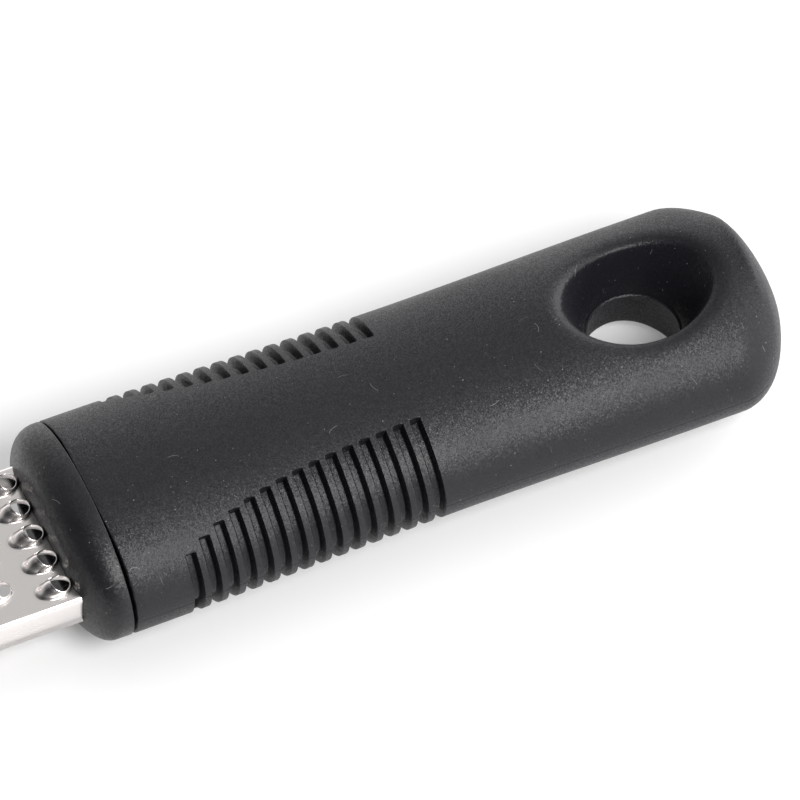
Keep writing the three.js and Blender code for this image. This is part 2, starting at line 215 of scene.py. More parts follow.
def both_faces(plan):
    """A plain stretch of sheet, as its top grid and its underside grid."""
    top = np.concatenate([plan, np.zeros(plan.shape[:2] + (1,))], -1)
    return [(top, False), (top - [0, 0, SHEET], False)]


# Rows of tooth cells, from the collar to the tip. Every second row has one tooth fewer, so that its teeth
# stand between their neighbours, and a plain stretch at both ends.
sheet = []
row_edges = []
for row in range(ROW_COUNT):
    x0 = first_row - row * ROW_PITCH
    xs = np.linspace(x0 - ROW_PITCH / 2, x0 + ROW_PITCH / 2, CELL_STEPS + 1)
    row_edges.append(xs[::-1])
    fewer = row % 2
    lead = fewer * half_cell
    for tooth in range(TEETH_IN_ROW - fewer):
        start = lead + CELL_STEPS * tooth
        ys = sheet_lines[start:start + CELL_STEPS + 1]
        y0 = (tooth - (TEETH_IN_ROW - 1 - fewer) / 2) * TOOTH_PITCH
        sheet.append((tooth_cell(cell_outline(xs, ys), x0, y0), True))
    if fewer:
        for ys in (sheet_lines[:lead + 1], sheet_lines[-lead - 1:]):
            sheet += both_faces(lattice(xs, ys))

# The plain stretch at the collar, where the lines close up to the tang's edges.
tang_lines = slice(TANG_FIRST_LINE, len(sheet_lines) - TANG_FIRST_LINE)
tang_sides = sheet_lines[tang_lines][[0, -1]]
back_ys = np.interp(sheet_lines, [-flat_side, *tang_sides, flat_side],
                    [-flat_side, -TANG_WIDTH / 2, TANG_WIDTH / 2, flat_side])
shares = np.linspace(0, 1, BACK_STEPS + 1)[:, None]
back_x = blend(RIM_BACK, row_edges[0][0], shares)
back_plan = np.stack(np.broadcast_arrays(back_x, blend(back_ys, sheet_lines, shares)), -1)
sheet += both_faces(back_plan)

# The plain tip, whose outline has two corner arcs.
corner = TIP_CORNER - bend_outer
half_lines = len(sheet_lines) // 2
front_steps = half_lines - CORNER_STEPS
count = np.arange(-half_lines, half_lines + 1)
arc = np.clip(np.abs(count) - front_steps, 0, CORNER_STEPS) / CORNER_STEPS * np.pi / 2
straight = np.clip(count / front_steps, -1, 1) * (flat_side - corner)
tip_outline = np.column_stack([
    tip_x + bend_outer + corner * (1 - np.cos(arc)),
    straight + np.sign(count) * corner * np.sin(arc),
])
last_row = np.column_stack([np.full(len(sheet_lines), row_edges[-1][-1]), sheet_lines])
tip_plan = blend(last_row, tip_outline, np.linspace(0, 1, TIP_STEPS + 1)[:, None, None])
sheet += both_faces(tip_plan)

# The turned-down rim: a bent section, carried forward along one side, around the tip and back along the
# other.
side_x = np.concatenate([back_x[:-1, 0], *[xs[:-1] for xs in row_edges], tip_plan[:, 0, 0]])
side_out = np.tile([0.0, -1.0], (len(side_x), 1))
near_side = np.column_stack([side_x, np.full(len(side_x), -flat_side)])
far_side = near_side[::-1] * [1, -1]
around = np.column_stack([-np.cos(arc), np.sign(count) * np.sin(arc)])[1:-1]
path = np.concatenate([near_side, tip_outline[1:-1], far_side])
outward = np.concatenate([side_out, around, -side_out])


def bent_section(radius, edge):
    """One face of the rim's section, as reach outwards and height: a quarter circle, sine outwards and
    cosine up, then the flange and its broken edge."""
    turn = np.linspace(0, np.pi / 2, BEND_STEPS + 1)
    bend = np.column_stack([radius * np.sin(turn), radius * np.cos(turn) - bend_outer])
    foot = np.array([[radius, EDGE_BREAK - RIM_DROP], [radius + edge, -RIM_DROP]])
    return np.concatenate([bend, foot])


rim_outer = bent_section(bend_outer, -EDGE_BREAK)
rim_inner = bent_section(BEND_INNER, EDGE_BREAK)
section = np.concatenate([rim_outer, rim_inner[::-1]])
rim_plan = path[:, None] + outward[:, None] * section[None, :, :1]
rim_height = np.broadcast_to(section[None, :, 1:], rim_plan.shape[:2] + (1,))
rim = np.concatenate([rim_plan, rim_height], -1)
sheet.append((rim, False))
half = len(rim_outer)
for end in (rim[0], rim[-1]):
    sheet.append((np.stack([end[:half], end[:half - 1:-1]]), False))

# The tang, with two round holes for the pins, and the sheet's back edge on each side of it.
pin_boxes = [node_box(name) for name in ("tang_pin_front", "tang_pin_rear")]
tang_ys = back_ys[tang_lines]
tang_xs = [np.array([RIM_BACK])]
for pin_low, pin_high in pin_boxes:
    x0 = (pin_low[0] + pin_high[0]) / 2 - HANDLE_ORIGIN[0]
    hole_radius = (pin_high[1] - pin_low[1]) / 2 + CLEARANCE
    xs = np.linspace(x0 - PIN_CELL / 2, x0 + PIN_CELL / 2, PIN_CELL_STEPS + 1)
    sheet += both_faces(lattice([tang_xs[-1][-1], xs[0]], tang_ys))
    outline = cell_outline(xs, tang_ys)
    turn = np.arctan2(outline[:, 1] / TANG_WIDTH, (outline[:, 0] - x0) / PIN_CELL)
    circle = np.array([x0, 0]) + hole_radius * np.column_stack([np.cos(turn), np.sin(turn)])
    hole = [(outline, 0), (circle, 0), (circle, -SHEET), (outline, -SHEET)]
    sheet.append((np.stack([at_height(places, z) for places, z in hole]), True))
    tang_xs.append(xs)
tang_xs = np.concatenate([*tang_xs, [tang_end]])
sheet += both_faces(lattice(tang_xs[-2:], tang_ys))
edges = [
    np.column_stack([tang_xs, np.full(len(tang_xs), tang_ys[0])]),
    np.column_stack([tang_xs, np.full(len(tang_xs), tang_ys[-1])]),
    np.column_stack([np.full(len(tang_ys), tang_end), tang_ys]),
    back_plan[0, :tang_lines.start + 1],
    back_plan[0, tang_lines.stop - 1:],
]
for edge in edges:
    sheet.append((np.stack([at_height(edge, 0), at_height(edge, -SHEET)]), False))

points, quads = joined(sheet)
blade = skin("blade", points + [0, 0, sheet_top], quads, sharp_angle=50)
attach(blade, "root")
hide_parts("grater_blade")


def linear(code):
    """A colour from its sRGB hex code: each channel is c / 12.92 below 0.04045, else ((c + 0.055) / 1.055)
    to the power 2.4."""
    c = np.array([int(code[i:i + 2], 16) / 255 for i in (1, 3, 5)])
    c = np.where(c <= 0.04045, c / 12.92, ((c + 0.055) / 1.055) ** 2.4)
    return (*c, 1.0)


def add(tree, kind, inputs=None, **settings):
    """Adds a node with its settings; each input is a value or the socket that it is linked to."""
    made = tree.nodes.new(kind)
    for name, value in settings.items():
        setattr(made, name, value)
    for name, value in (inputs or {}).items():
        if isinstance(value, bpy.types.NodeSocket):
            tree.links.new(value, made.inputs[name])
        else:
            made.inputs[name].default_value = value
    return made


def finish(name, piece):
    """A new material on a piece, with an empty node tree."""
    material = bpy.data.materials.new(name)
    material.use_nodes = True
    material.node_tree.nodes.clear()
    piece.data.materials.clear()
    piece.data.materials.append(material)
    return material.node_tree


# Rolled stainless sheet, lightly polished: a bright metal with faint lines along the rolling direction,
# 0.12 mm apart and 9 mm long, which spread reflections across the blade.
ROLL_LENGTH, ROLL_WIDTH = 9 * MM, 0.12 * MM
HAZE = 11 * MM
tree = finish("rolled_stainless_steel", blade)
place = add(tree, "ShaderNodeTexCoord").outputs["Object"]
rolled = add(tree, "ShaderNodeMapping", {
    "Vector": place, "Scale": (1 / ROLL_LENGTH, 1 / ROLL_WIDTH, 1 / ROLL_WIDTH),
})
lines = add(tree, "ShaderNodeTexNoise", {"Vector": rolled.outputs["Vector"], "Scale": 1.0, "Detail": 3.0})
haze = add(tree, "ShaderNodeTexNoise", {"Vector": place, "Scale": 1 / HAZE, "Detail": 2.0})
wear = add(tree, "ShaderNodeMath", {0: lines.outputs["Fac"], 1: haze.outputs["Fac"]}, operation="MULTIPLY")
rough = add(tree, "ShaderNodeMapRange", {
    "Value": wear.outputs["Value"], "From Min": 0.1, "From Max": 0.45, "To Min": 0.17, "To Max": 0.3,
})
bump = add(tree, "ShaderNodeBump", {
    "Height": lines.outputs["Fac"], "Strength": 0.04, "Distance": 0.02 * MM,
})
steel = add(tree, "ShaderNodeBsdfPrincipled", {
    "Base Color": linear("#f4efed"), "Metallic": 1.0,
    "Roughness": rough.outputs["Result"], "Normal": bump.outputs["Normal"],
})
add(tree, "ShaderNodeOutputMaterial", {"Surface": steel.outputs["BSDF"]})

# Handle core: a stiff moulded bar of black polypropylene inside the grip, slotted for the tang. It is
# hidden in the finished tool and keeps its CAD shape. The die's spark grain gives it a dull, uneven
# shine.
SPARK_GRAIN = 0.3 * MM
tree = finish("moulded_polypropylene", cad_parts["handle_core"])
place = add(tree, "ShaderNodeTexCoord").outputs["Object"]
grain = add(tree, "ShaderNodeTexNoise", {"Vector": place, "Scale": 1 / SPARK_GRAIN, "Detail": 2.0})
bump = add(tree, "ShaderNodeBump", {
    "Height": grain.outputs["Fac"], "Strength": 0.15, "Distance": 0.03 * MM,
})
rough = add(tree, "ShaderNodeMapRange", {"Value": grain.outputs["Fac"], "To Min": 0.4, "To Max": 0.55})
plastic = add(tree, "ShaderNodeBsdfPrincipled", {
    "Base Color": linear("#2b2c2e"), "IOR": 1.49,
    "Roughness": rough.outputs["Result"], "Normal": bump.outputs["Normal"],
})
add(tree, "ShaderNodeOutputMaterial", {"Surface": plastic.outputs["BSDF"]})

# Tang pins: two plain cross pins of drawn steel wire, pressed through the core and the tang's holes.
# They are hidden in the finished tool and keep their CAD shape. Drawing leaves fine lengthwise lines,
# which streak their shine.
DRAW_LENGTH, DRAW_WIDTH = 4 * MM, 0.1 * MM
for name in ("tang_pin_front", "tang_pin_rear"):
    tree = finish("drawn_steel_wire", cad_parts[name])
    place = add(tree, "ShaderNodeTexCoord").outputs["Object"]
    drawn = add(tree, "ShaderNodeMapping", {
        "Vector": place, "Scale": (1 / DRAW_WIDTH, 1 / DRAW_WIDTH, 1 / DRAW_LENGTH),
    })
    lines = add(tree, "ShaderNodeTexNoise", {
        "Vector": drawn.outputs["Vector"], "Scale": 1.0, "Detail": 2.0,
    })
    rough = add(tree, "ShaderNodeMapRange", {
        "Value": lines.outputs["Fac"], "To Min": 0.28, "To Max": 0.45,
    })
    wire = add(tree, "ShaderNodeBsdfPrincipled", {
        "Base Color": linear("#b4b5b6"), "Metallic": 1.0, "Roughness": rough.outputs["Result"],
    })
    add(tree, "ShaderNodeOutputMaterial", {"Surface": wire.outputs["BSDF"]})

# Front collar: a moulded cap of hard black plastic that closes the handle's front. Its front edge is
# rounded, the blade's end sits in its pocket, and its spigot plugs the mouth of the grip.
COLLAR_LENGTH = 5.95
COLLAR_ROUND, COLLAR_ROUND_UNDER = 5.3, 3.7
COLLAR_ROUND_WIDTH = 8.5
COLLAR_ROUND_HEIGHT = 3.85
POCKET_GAP = 0.1
POCKET_FLOOR = 0.65
POCKET_EDGE = 0.15
POCKET_SQUARENESS = 10
BACK_EDGE = 0.15
COLLAR_LINES = 192
FRONT_ROWS, BACK_EDGE_ROWS = 26, 5
HALVINGS = 40
handle_half_width = collar_high[1]
handle_half_height = (collar_high[2] - collar_low[2]) / 2
spigot_half = np.array([core_high[1], (core_high[2] - core_low[2]) / 2])
spigot_end = collar_high[0] - HANDLE_ORIGIN[0]
collar_turn = np.arange(COLLAR_LINES) * 2 * np.pi / COLLAR_LINES


def oval(x, half_width, half_height, turn=collar_turn):
    """An oval section at x: width times cosine across, height times sine up."""
    plan = np.broadcast_arrays(x, half_width * np.cos(turn), half_height * np.sin(turn))
    return np.stack(plan, -1)


def squared(x, half_width, low, high):
    """A rectangle with slightly rounded corners at x: an oval with its sine and cosine raised to a small
    power, which pushes them out to the corners."""
    power = 2 / POCKET_SQUARENESS
    c, s = np.cos(collar_turn), np.sin(collar_turn)
    y = half_width * np.sign(c) * np.abs(c) ** power
    z = (high + low) / 2 + (high - low) / 2 * np.sign(s) * np.abs(s) ** power
    return np.stack(np.broadcast_arrays(x, y, z), -1)


def ease(x, start, end):
    """Rises from 0 at start to 1 at end, level at both: 3 t squared minus 2 t cubed."""
    t = np.clip((x - start) / (end - start), 0, 1)
    return t * t * (3 - 2 * t)


def front_x(y, z):
    """How far back the rounded front lies at a place across it. The rounding's ovals shrink as they come
    forward, and halving an interval finds the inset whose oval passes through the place. From there the
    front is a quarter of an ellipse, deeper over the blade than under it."""
    low, high = np.zeros_like(y), np.ones_like(y)
    for _ in range(HALVINGS):
        inset = (low + high) / 2
        across = y / (handle_half_width - COLLAR_ROUND_WIDTH * inset)
        up = z / (handle_half_height - COLLAR_ROUND_HEIGHT * inset)
        outside = across ** 2 + up ** 2 > 1
        high = np.where(outside, inset, high)
        low = np.where(outside, low, inset)
    above = ease(z, -handle_half_height / 2, handle_half_height / 2)
    depth = blend(COLLAR_ROUND_UNDER, COLLAR_ROUND, above)
    return depth * (1 - np.sqrt(np.clip(1 - (1 - low) ** 2, 0, 1)))


# The front runs from the pocket's rim to the full oval, with its rows closest together at the oval, where
# it bends most. Behind it follow the back edge, the spigot, the tang's slit and the pocket.
pocket_low = blade_low[2] - HANDLE_ORIGIN[2] - POCKET_GAP
pocket_high = sheet_top + POCKET_GAP
pocket_half = blade_high[1] + POCKET_GAP
pocket_depth = COLLAR_LENGTH - POCKET_FLOOR
slit_half = TANG_WIDTH / 2 + CLEARANCE
slit_low = sheet_top - SHEET - CLEARANCE
pocket_rim = squared(0, pocket_half + POCKET_EDGE, pocket_low - POCKET_EDGE, pocket_high + POCKET_EDGE)
full_oval = oval(0, handle_half_width, handle_half_height)
front = blend(pocket_rim, full_oval, 1 - np.linspace(1, 0, FRONT_ROWS)[:, None, None] ** 2)
front[:, :, 0] = front_x(front[:, :, 1], front[:, :, 2])
round_edge = np.linspace(0, np.pi / 2, BACK_EDGE_ROWS)[:, None]
back_edge = oval(
    COLLAR_LENGTH - BACK_EDGE * (1 - np.sin(round_edge)),
    handle_half_width - BACK_EDGE * (1 - np.cos(round_edge)),
    handle_half_height - BACK_EDGE * (1 - np.cos(round_edge)),
)
pocket_mouth = squared(0, pocket_half, pocket_low, pocket_high)
pocket_mouth[:, 0] = front[0, :, 0] + POCKET_EDGE
collar_rows = np.concatenate([
    front,
    back_edge,
    [oval(COLLAR_LENGTH, *spigot_half)],
    [oval(spigot_end - BACK_EDGE, *spigot_half)],
    [oval(spigot_end, *(spigot_half - BACK_EDGE))],
    [squared(spigot_end, slit_half, slit_low, pocket_high)],
    [squared(pocket_depth, slit_half, slit_low, pocket_high)],
    [squared(pocket_depth, pocket_half, pocket_low, pocket_high)],
    [pocket_mouth],
    front[:1],
])
collar = skin("collar", *joined([(collar_rows, True)]), sharp_angle=40)
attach(collar, "root")
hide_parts("front_collar")

SPECK_SPACING = 0.8 * MM
SPECK_SMALL, SPECK_LARGE = 0.05, 0.16
SPECK_FROM, SPECK_FULL = 0.5, 0.9
FIBRE_SPACING, FIBRE_WIDTH, FIBRE_LENGTH, FIBRE_REACH = 4.5 * MM, 0.07 * MM, 1.6 * MM, 0.8 * MM
FIBRE_BEND, FIBRE_COVER = 0.5 / MM, 0.5
DUST = "#9a9a9b"


def dusted(tree, place, base):
    """Base colour under pale dust and lint, drawn as coarse as they need to show. Each cell of a fine cell
    pattern may hold a speck, whose reach, as a share of the cell, and paleness follow the cell's random
    colour. Each cell of a wide one holds a fibre: a thin strip along the cell's own turned x axis, bent by
    a random share of x squared."""
    cells = add(tree, "ShaderNodeTexVoronoi", {"Vector": place, "Scale": 1 / SPECK_SPACING}).outputs
    luck = add(tree, "ShaderNodeSeparateColor", {"Color": cells["Color"]}).outputs
    size = add(tree, "ShaderNodeMapRange", {
        "Value": luck["Green"], "To Min": SPECK_SMALL, "To Max": SPECK_LARGE,
    })
    speck = add(tree, "ShaderNodeMapRange", {
        "Value": cells["Distance"], "From Max": size.outputs["Result"], "To Min": 1.0, "To Max": 0.0,
    })
    settled = add(tree, "ShaderNodeMapRange", {
        "Value": luck["Red"], "From Min": SPECK_FROM, "From Max": SPECK_FULL,
    })
    dust = add(tree, "ShaderNodeMath", {
        0: speck.outputs["Result"], 1: settled.outputs["Result"],
    }, operation="MULTIPLY")
    strands = add(tree, "ShaderNodeTexVoronoi", {"Vector": place, "Scale": 1 / FIBRE_SPACING}).outputs
    luck = add(tree, "ShaderNodeSeparateColor", {"Color": strands["Color"]}).outputs
    local = add(tree, "ShaderNodeVectorMath", {0: place, 1: strands["Position"]}, operation="SUBTRACT")
    angle = add(tree, "ShaderNodeMath", {0: luck["Red"], 1: 2 * np.pi}, operation="MULTIPLY")
    turned = add(tree, "ShaderNodeVectorRotate", {
        "Vector": local.outputs["Vector"], "Angle": angle.outputs["Value"],
    }, rotation_type="Z_AXIS")
    x, y, z = add(tree, "ShaderNodeSeparateXYZ", {"Vector": turned.outputs["Vector"]}).outputs
    square = add(tree, "ShaderNodeMath", {0: x, 1: x}, operation="MULTIPLY")
    curl = add(tree, "ShaderNodeMapRange", {
        "Value": luck["Blue"], "To Min": -FIBRE_BEND, "To Max": FIBRE_BEND,
    })
    bent = add(tree, "ShaderNodeMath", {
        0: square.outputs["Value"], 1: curl.outputs["Result"], 2: y,
    }, operation="MULTIPLY_ADD")
    lint = add(tree, "ShaderNodeMath", {0: luck["Green"], 1: FIBRE_COVER}, operation="MULTIPLY")
    for value, reach in ((bent.outputs["Value"], FIBRE_WIDTH), (x, FIBRE_LENGTH), (z, FIBRE_REACH)):
        inside = add(tree, "ShaderNodeMath", {0: value, 1: 0.0, 2: reach / 2}, operation="COMPARE")
        lint = add(tree, "ShaderNodeMath", {
            0: lint.outputs["Value"], 1: inside.outputs["Value"],
        }, operation="MULTIPLY")
    cover = add(tree, "ShaderNodeMath", {
        0: dust.outputs["Value"], 1: lint.outputs["Value"],
    }, operation="MAXIMUM")
    return add(tree, "ShaderNodeMix", {
        "Factor": cover.outputs["Value"], "A": linear(base), "B": linear(DUST),
    }, data_type="RGBA").outputs["Result"]


def grained(tree, place, size, tilt):
    """Normals of a moulded grain: each cell of a fine cell pattern is a small facet, tilted by the cell's
    random colour less a half, times the tilt."""
    facets = add(tree, "ShaderNodeTexVoronoi", {"Vector": place, "Scale": 1 / size})
    lean = add(tree, "ShaderNodeVectorMath", {
        0: facets.outputs["Color"], 1: (0.5, 0.5, 0.5),
    }, operation="SUBTRACT")
    plain = add(tree, "ShaderNodeNewGeometry").outputs["Normal"]
    leant = add(tree, "ShaderNodeVectorMath", {
        0: lean.outputs["Vector"], 1: (tilt, tilt, tilt), 2: plain,
    }, operation="MULTIPLY_ADD")
    normal = add(tree, "ShaderNodeVectorMath", {0: leant.outputs["Vector"]}, operation="NORMALIZE")
    return normal.outputs["Vector"]


# Black ABS, moulded in a spark-eroded die: an even matte grain with a soft shine. The grain is drawn at
# 0.2 mm, as coarse as it needs to show.
CLOUD = 7 * MM
COLLAR_GRAIN, COLLAR_TILT = 0.2 * MM, 0.2
tree = finish("moulded_matte_abs", collar)
place = add(tree, "ShaderNodeTexCoord").outputs["Object"]
cloud = add(tree, "ShaderNodeTexNoise", {"Vector": place, "Scale": 1 / CLOUD, "Detail": 3.0})
rough = add(tree, "ShaderNodeMapRange", {
    "Value": cloud.outputs["Fac"], "From Min": 0.3, "From Max": 0.7, "To Min": 0.34, "To Max": 0.48,
})
abs_plastic = add(tree, "ShaderNodeBsdfPrincipled", {
    "Base Color": dusted(tree, place, "#17171b"), "IOR": 1.47,
    "Roughness": rough.outputs["Result"], "Normal": grained(tree, place, COLLAR_GRAIN, COLLAR_TILT),
})
add(tree, "ShaderNodeOutputMaterial", {"Surface": abs_plastic.outputs["BSDF"]})

# Grip sleeve: soft black elastomer moulded as one piece and pulled over the core. Fifteen finger grooves
# wrap each side, a hanging hole flares to both faces near the butt, and the mould parts at mid-height.
SEAM_AT_CROWN, SEAM_FAR, SEAM_NEAR = 0.02, 0.26, 0.5
SEAM_FAR_OPENS, SEAM_NEAR_OPENS = (0.05, 0.5), (0.15, 0.9)
SEAM_RIPPLE, SEAM_WAVES = 0.05, (9, 31)
FRONT_EDGE, FRONT_EDGE_AT_CROWN = 0.3, 0.06
WAIST_START, WAIST_END, WAIST_DRAW = 8.0, 60.0, 0.95
SWELL_LENGTH, SWELL = 32.0, 0.3
BUTT_ROUND, BUTT_ROUND_POWER = 10.65, 1.82
BUTT_EDGE, BUTT_EDGE_POWER = 4.0, 1.4
GROOVE_COUNT = 15
GROOVE_FIRST = 15.75
GROOVE_PITCH = 2.605
GROOVE_WIDTH = 1.3
GROOVE_DEPTH = 1.6
GROOVE_EDGE = 0.2
GROOVE_TOP_INNER, GROOVE_TOP_DROP, GROOVE_TOP_FADE = 7.4, 7.1, 13.0
GROOVE_END_REACH = 0.98
PARTING_WIDTH, PARTING_DEPTH = 0.16, 0.05
HOLE_UPPER = {"x": 89.5, "length": 10.6, "width": 8.4, "power": 1.35}
HOLE_LOWER = {"x": 89.2, "length": 7.8, "width": 8.7, "power": 0.15}
HOLE_WAIST = {"x": 89.05, "radius": 6.75}
HOLE_RIM_HEIGHT = 9.0
HOLE_BEAD, HOLE_BEAD_HEIGHT = 0.25, 0.2
LIP_DROP, LIP_ROUND, LIP_LEAN, LIP_EDGE = 0.7, 2.6, 1.2, 0.5
LIP_TRIES = 20
PLAIN_AHEAD, PLAIN_BEHIND = 1.5, 1.6
BLOCK_START, BLOCK_LEAD, BLOCK_TURN = 73.0, 6.0, 46.0
BUTT_ZONE, BUTT_CROWDING = 5.2, 1.2
FRONT_COUNT, REAR_COUNT, HOLE_COUNT, BUTT_COUNT = 7, 10, 44, 20
LEAST_RADIUS = 6.0
TINY = 1e-9
handle_length = node_box("grip_sleeve")[1][0] - HANDLE_ORIGIN[0]
bore_half = spigot_half + CLEARANCE
bore_end = core_high[0] - HANDLE_ORIGIN[0] + CLEARANCE
groove_x = GROOVE_FIRST + GROOVE_PITCH * np.arange(GROOVE_COUNT)


def closing(x, length, power):
    """Share of the full section near the butt: one minus the share past the straight, to the given power,
    and the same root of that. A power of 2 is a quarter of an ellipse, and 1 a wedge."""
    past = np.clip(1 - (handle_length - x) / length, 0, 1)
    return (1 - past ** power) ** (1 / power)


def drawn_in(x):
    """How far the sides draw in at x: eased in to the waist, and a little of it out again to the swell."""
    swell = SWELL * ease(x, WAIST_END, WAIST_END + SWELL_LENGTH)
    return WAIST_DRAW * ease(x, WAIST_START, WAIST_END) - swell


def half_width(x):
    """Half the sleeve's width at x: the collar's, less the draw, times the closing of the butt's round."""
    return (handle_half_width - drawn_in(x)) * closing(x, BUTT_ROUND, BUTT_ROUND_POWER)


def half_height(x):
    """Half the sleeve's height at x: the collar's, slimmed as the width is, times the closing of the
    butt's edge."""
    slim = 1 - drawn_in(x) / handle_half_width
    return handle_half_height * slim * closing(x, BUTT_EDGE, BUTT_EDGE_POWER)


def top_height(x, y):
    """Height of the sleeve's oval skin over the mid-plane at a place in plan."""
    return half_height(x) * np.sqrt(np.clip(1 - (y / half_width(x)) ** 2, 0, 1))


# Stations along the sleeve: close together at each groove's edges, around the hole and at the butt.
edge_steps = np.array([0.62, 0.34, 0.2, 0.13, 0.07, 0.02, -0.03, -0.08, -0.14, -0.2, -0.36])
groove_side = GROOVE_WIDTH / 2 + edge_steps
across_groove = np.concatenate([-groove_side, [0], groove_side[::-1]])
block = (BLOCK_START, handle_length - BUTT_ZONE)
front_start = COLLAR_LENGTH + SEAM_NEAR + FRONT_EDGE
front_stations = np.linspace(front_start, GROOVE_FIRST - PLAIN_AHEAD, FRONT_COUNT)
groove_stations = (groove_x[:, None] + across_groove).ravel()
rear_stations = np.linspace(groove_x[-1] + PLAIN_BEHIND, block[0], REAR_COUNT)
hole_stations = np.linspace(*block, HOLE_COUNT)[1:]
to_butt = 1 - np.sin(np.linspace(0, np.pi / 2, BUTT_COUNT)[1:])
butt_stations = handle_length - BUTT_ZONE * to_butt ** BUTT_CROWDING
stations = np.concatenate([
    front_stations, groove_stations, rear_stations, hole_stations, butt_stations,
])
wide, high = half_width(stations)[:, None], half_height(stations)[:, None]

# Lines around the sleeve, set in one quarter and mirrored to the others. One bundle of them follows the
# upper ends of the grooves, so that each groove ends squarely.
ends_y = GROOVE_TOP_INNER + GROOVE_TOP_DROP * np.exp((GROOVE_FIRST - groove_x) / GROOVE_TOP_FADE)
ends_turn = np.arccos(ends_y / half_width(groove_x))
ends_x = groove_x[:, None] + [-GROOVE_END_REACH, GROOVE_END_REACH]
knots_x = np.concatenate([ends_x.ravel(), [block[0] - BLOCK_LEAD]])
knots_turn = np.concatenate([np.repeat(ends_turn, 2), [np.radians(BLOCK_TURN)]])
end_turn = np.interp(stations, knots_x, knots_turn)[:, None]
per_radian = np.maximum(np.hypot(wide * np.sin(end_turn), high * np.cos(end_turn)), LEAST_RADIUS)
end_steps = np.array([-0.5, -0.3, -0.2, -0.13, -0.06, 0.0, 0.06, 0.13, 0.2, 0.3, 0.5])
lower_share = np.concatenate([[0, 0.006, 0.016, 0.04], np.linspace(0.1, 1, 13)[:-1]])
upper_share = np.linspace(0, 1, 15)[1:]
middle = end_turn + end_steps / per_radian
lower = middle[:, :1] * lower_share
upper = blend(middle[:, -1:], np.pi / 2, upper_share)
quarter = np.concatenate([lower, middle, upper], 1)
turn = np.concatenate([
    quarter, np.pi - quarter[:, -2::-1], np.pi + quarter[:, 1:], 2 * np.pi - quarter[:, -2:0:-1],
], 1)
line_count = turn.shape[1]
top_line = quarter.shape[1] - 1


def mirrored(values):
    """Values along a quarter's lines, repeated around the other three quarters."""
    return np.concatenate([values, values[:, -2::-1], values[:, 1:], values[:, -2:0:-1]], 1)


# Depth at each point: full between the groove's edges and below its squared end, with rounded edges. It
# is taken off square to the skin.
from_groove = np.abs(stations[:, None] - groove_x).min(1)[:, None]
across = ease(-from_groove, -GROOVE_WIDTH / 2 - GROOVE_EDGE, -GROOVE_WIDTH / 2 + GROOVE_EDGE)
below_end = ease((end_turn - quarter) * per_radian, -GROOVE_EDGE, GROOVE_EDGE)
parting = PARTING_DEPTH * ease(-quarter * high, -PARTING_WIDTH, 0)
sunk = mirrored(np.maximum(GROOVE_DEPTH * across * below_end, parting))
square_on = np.stack([np.cos(turn) * high, np.sin(turn) * wide], -1)
square_on /= np.maximum(np.linalg.norm(square_on, axis=-1, keepdims=True), TINY)
outer = oval(stations[:, None], wide, high, turn)
outer[:, :, 1:] -= sunk[:, :, None] * square_on

# The mouth of the grip: its flat front and rounded edge, which stand closest to the collar at the crown,
# and the bore behind it.
front_turn = turn[0]
far_share = ease(np.cos(front_turn), *SEAM_FAR_OPENS)
near_share = ease(-np.cos(front_turn), *SEAM_NEAR_OPENS)
open_share = np.maximum(far_share, near_share)
ripple = SEAM_RIPPLE * np.mean([np.sin(waves * front_turn) for waves in SEAM_WAVES], 0)
seam = (SEAM_AT_CROWN + (SEAM_FAR - SEAM_AT_CROWN) * far_share
        + (SEAM_NEAR - SEAM_AT_CROWN) * near_share + open_share * ripple)
front_plane = COLLAR_LENGTH + seam
round_off = blend(FRONT_EDGE_AT_CROWN, FRONT_EDGE, open_share)
mouth_rows = [
    oval(bore_end, 0, 0, front_turn),
    oval(bore_end, *bore_half, front_turn),
    oval(front_plane, *bore_half, front_turn),
]
for angle in np.radians([0, 30, 60]):
    x = front_plane + round_off * (1 - np.cos(angle))
    inset = round_off * (1 - np.sin(angle))
    mouth_rows.append(oval(x, wide[0] - inset, high[0] - inset, front_turn))
ahead = seam + round_off - SEAM_NEAR - FRONT_EDGE
fading = 1 - ease(front_stations, front_stations[0], front_stations[-1])
outer[:len(front_stations), :, 0] += ahead * fading[:, None]
sleeve_rows = np.concatenate([np.stack(mouth_rows), outer])

# The hanging hole: rows of points from a block of the top skin, over a rounded rim, down an hourglass
# wall and out to the same block of the underside.
first = len(mouth_rows) + int(np.argmin(np.abs(stations - block[0])))
last = len(mouth_rows) + int(np.argmin(np.abs(stations - block[1])))
side_line = len(lower_share) + len(end_steps) // 2
far_line = 2 * top_line - side_line
block_rows = np.arange(first, last + 1)
block_lines = np.arange(side_line, far_line + 1)
loop_row = np.concatenate([
    np.full(len(block_lines) - 1, first), block_rows[:-1],
    np.full(len(block_lines) - 1, last), block_rows[:0:-1],
])
loop_line = np.concatenate([
    block_lines[:-1], np.full(len(block_rows) - 1, far_line),
    block_lines[:0:-1], np.full(len(block_rows) - 1, side_line),
])
loop = sleeve_rows[loop_row, loop_line]


def hole_wall(turn, height, mouth):
    """A place on the hole's wall at a height over or under the mid-plane: a circle at the waist, drawn out
    to the mouth's oval by the height's share of the rim's height, to the mouth's power. The mould's
    parting leaves a fine bead around the waist, which loses its width evenly with height."""
    share = (height / HOLE_RIM_HEIGHT) ** mouth["power"]
    bead = HOLE_BEAD * np.clip(1 - height / HOLE_BEAD_HEIGHT, 0, 1)
    x0 = blend(HOLE_WAIST["x"], mouth["x"], np.minimum(share, 1))
    x = x0 + (blend(HOLE_WAIST["radius"], mouth["length"], share) - bead) * np.cos(turn)
    y = (blend(HOLE_WAIST["radius"], mouth["width"], share) - bead) * np.sin(turn)
    return np.stack([x, y, np.broadcast_to(height, x.shape)], -1)


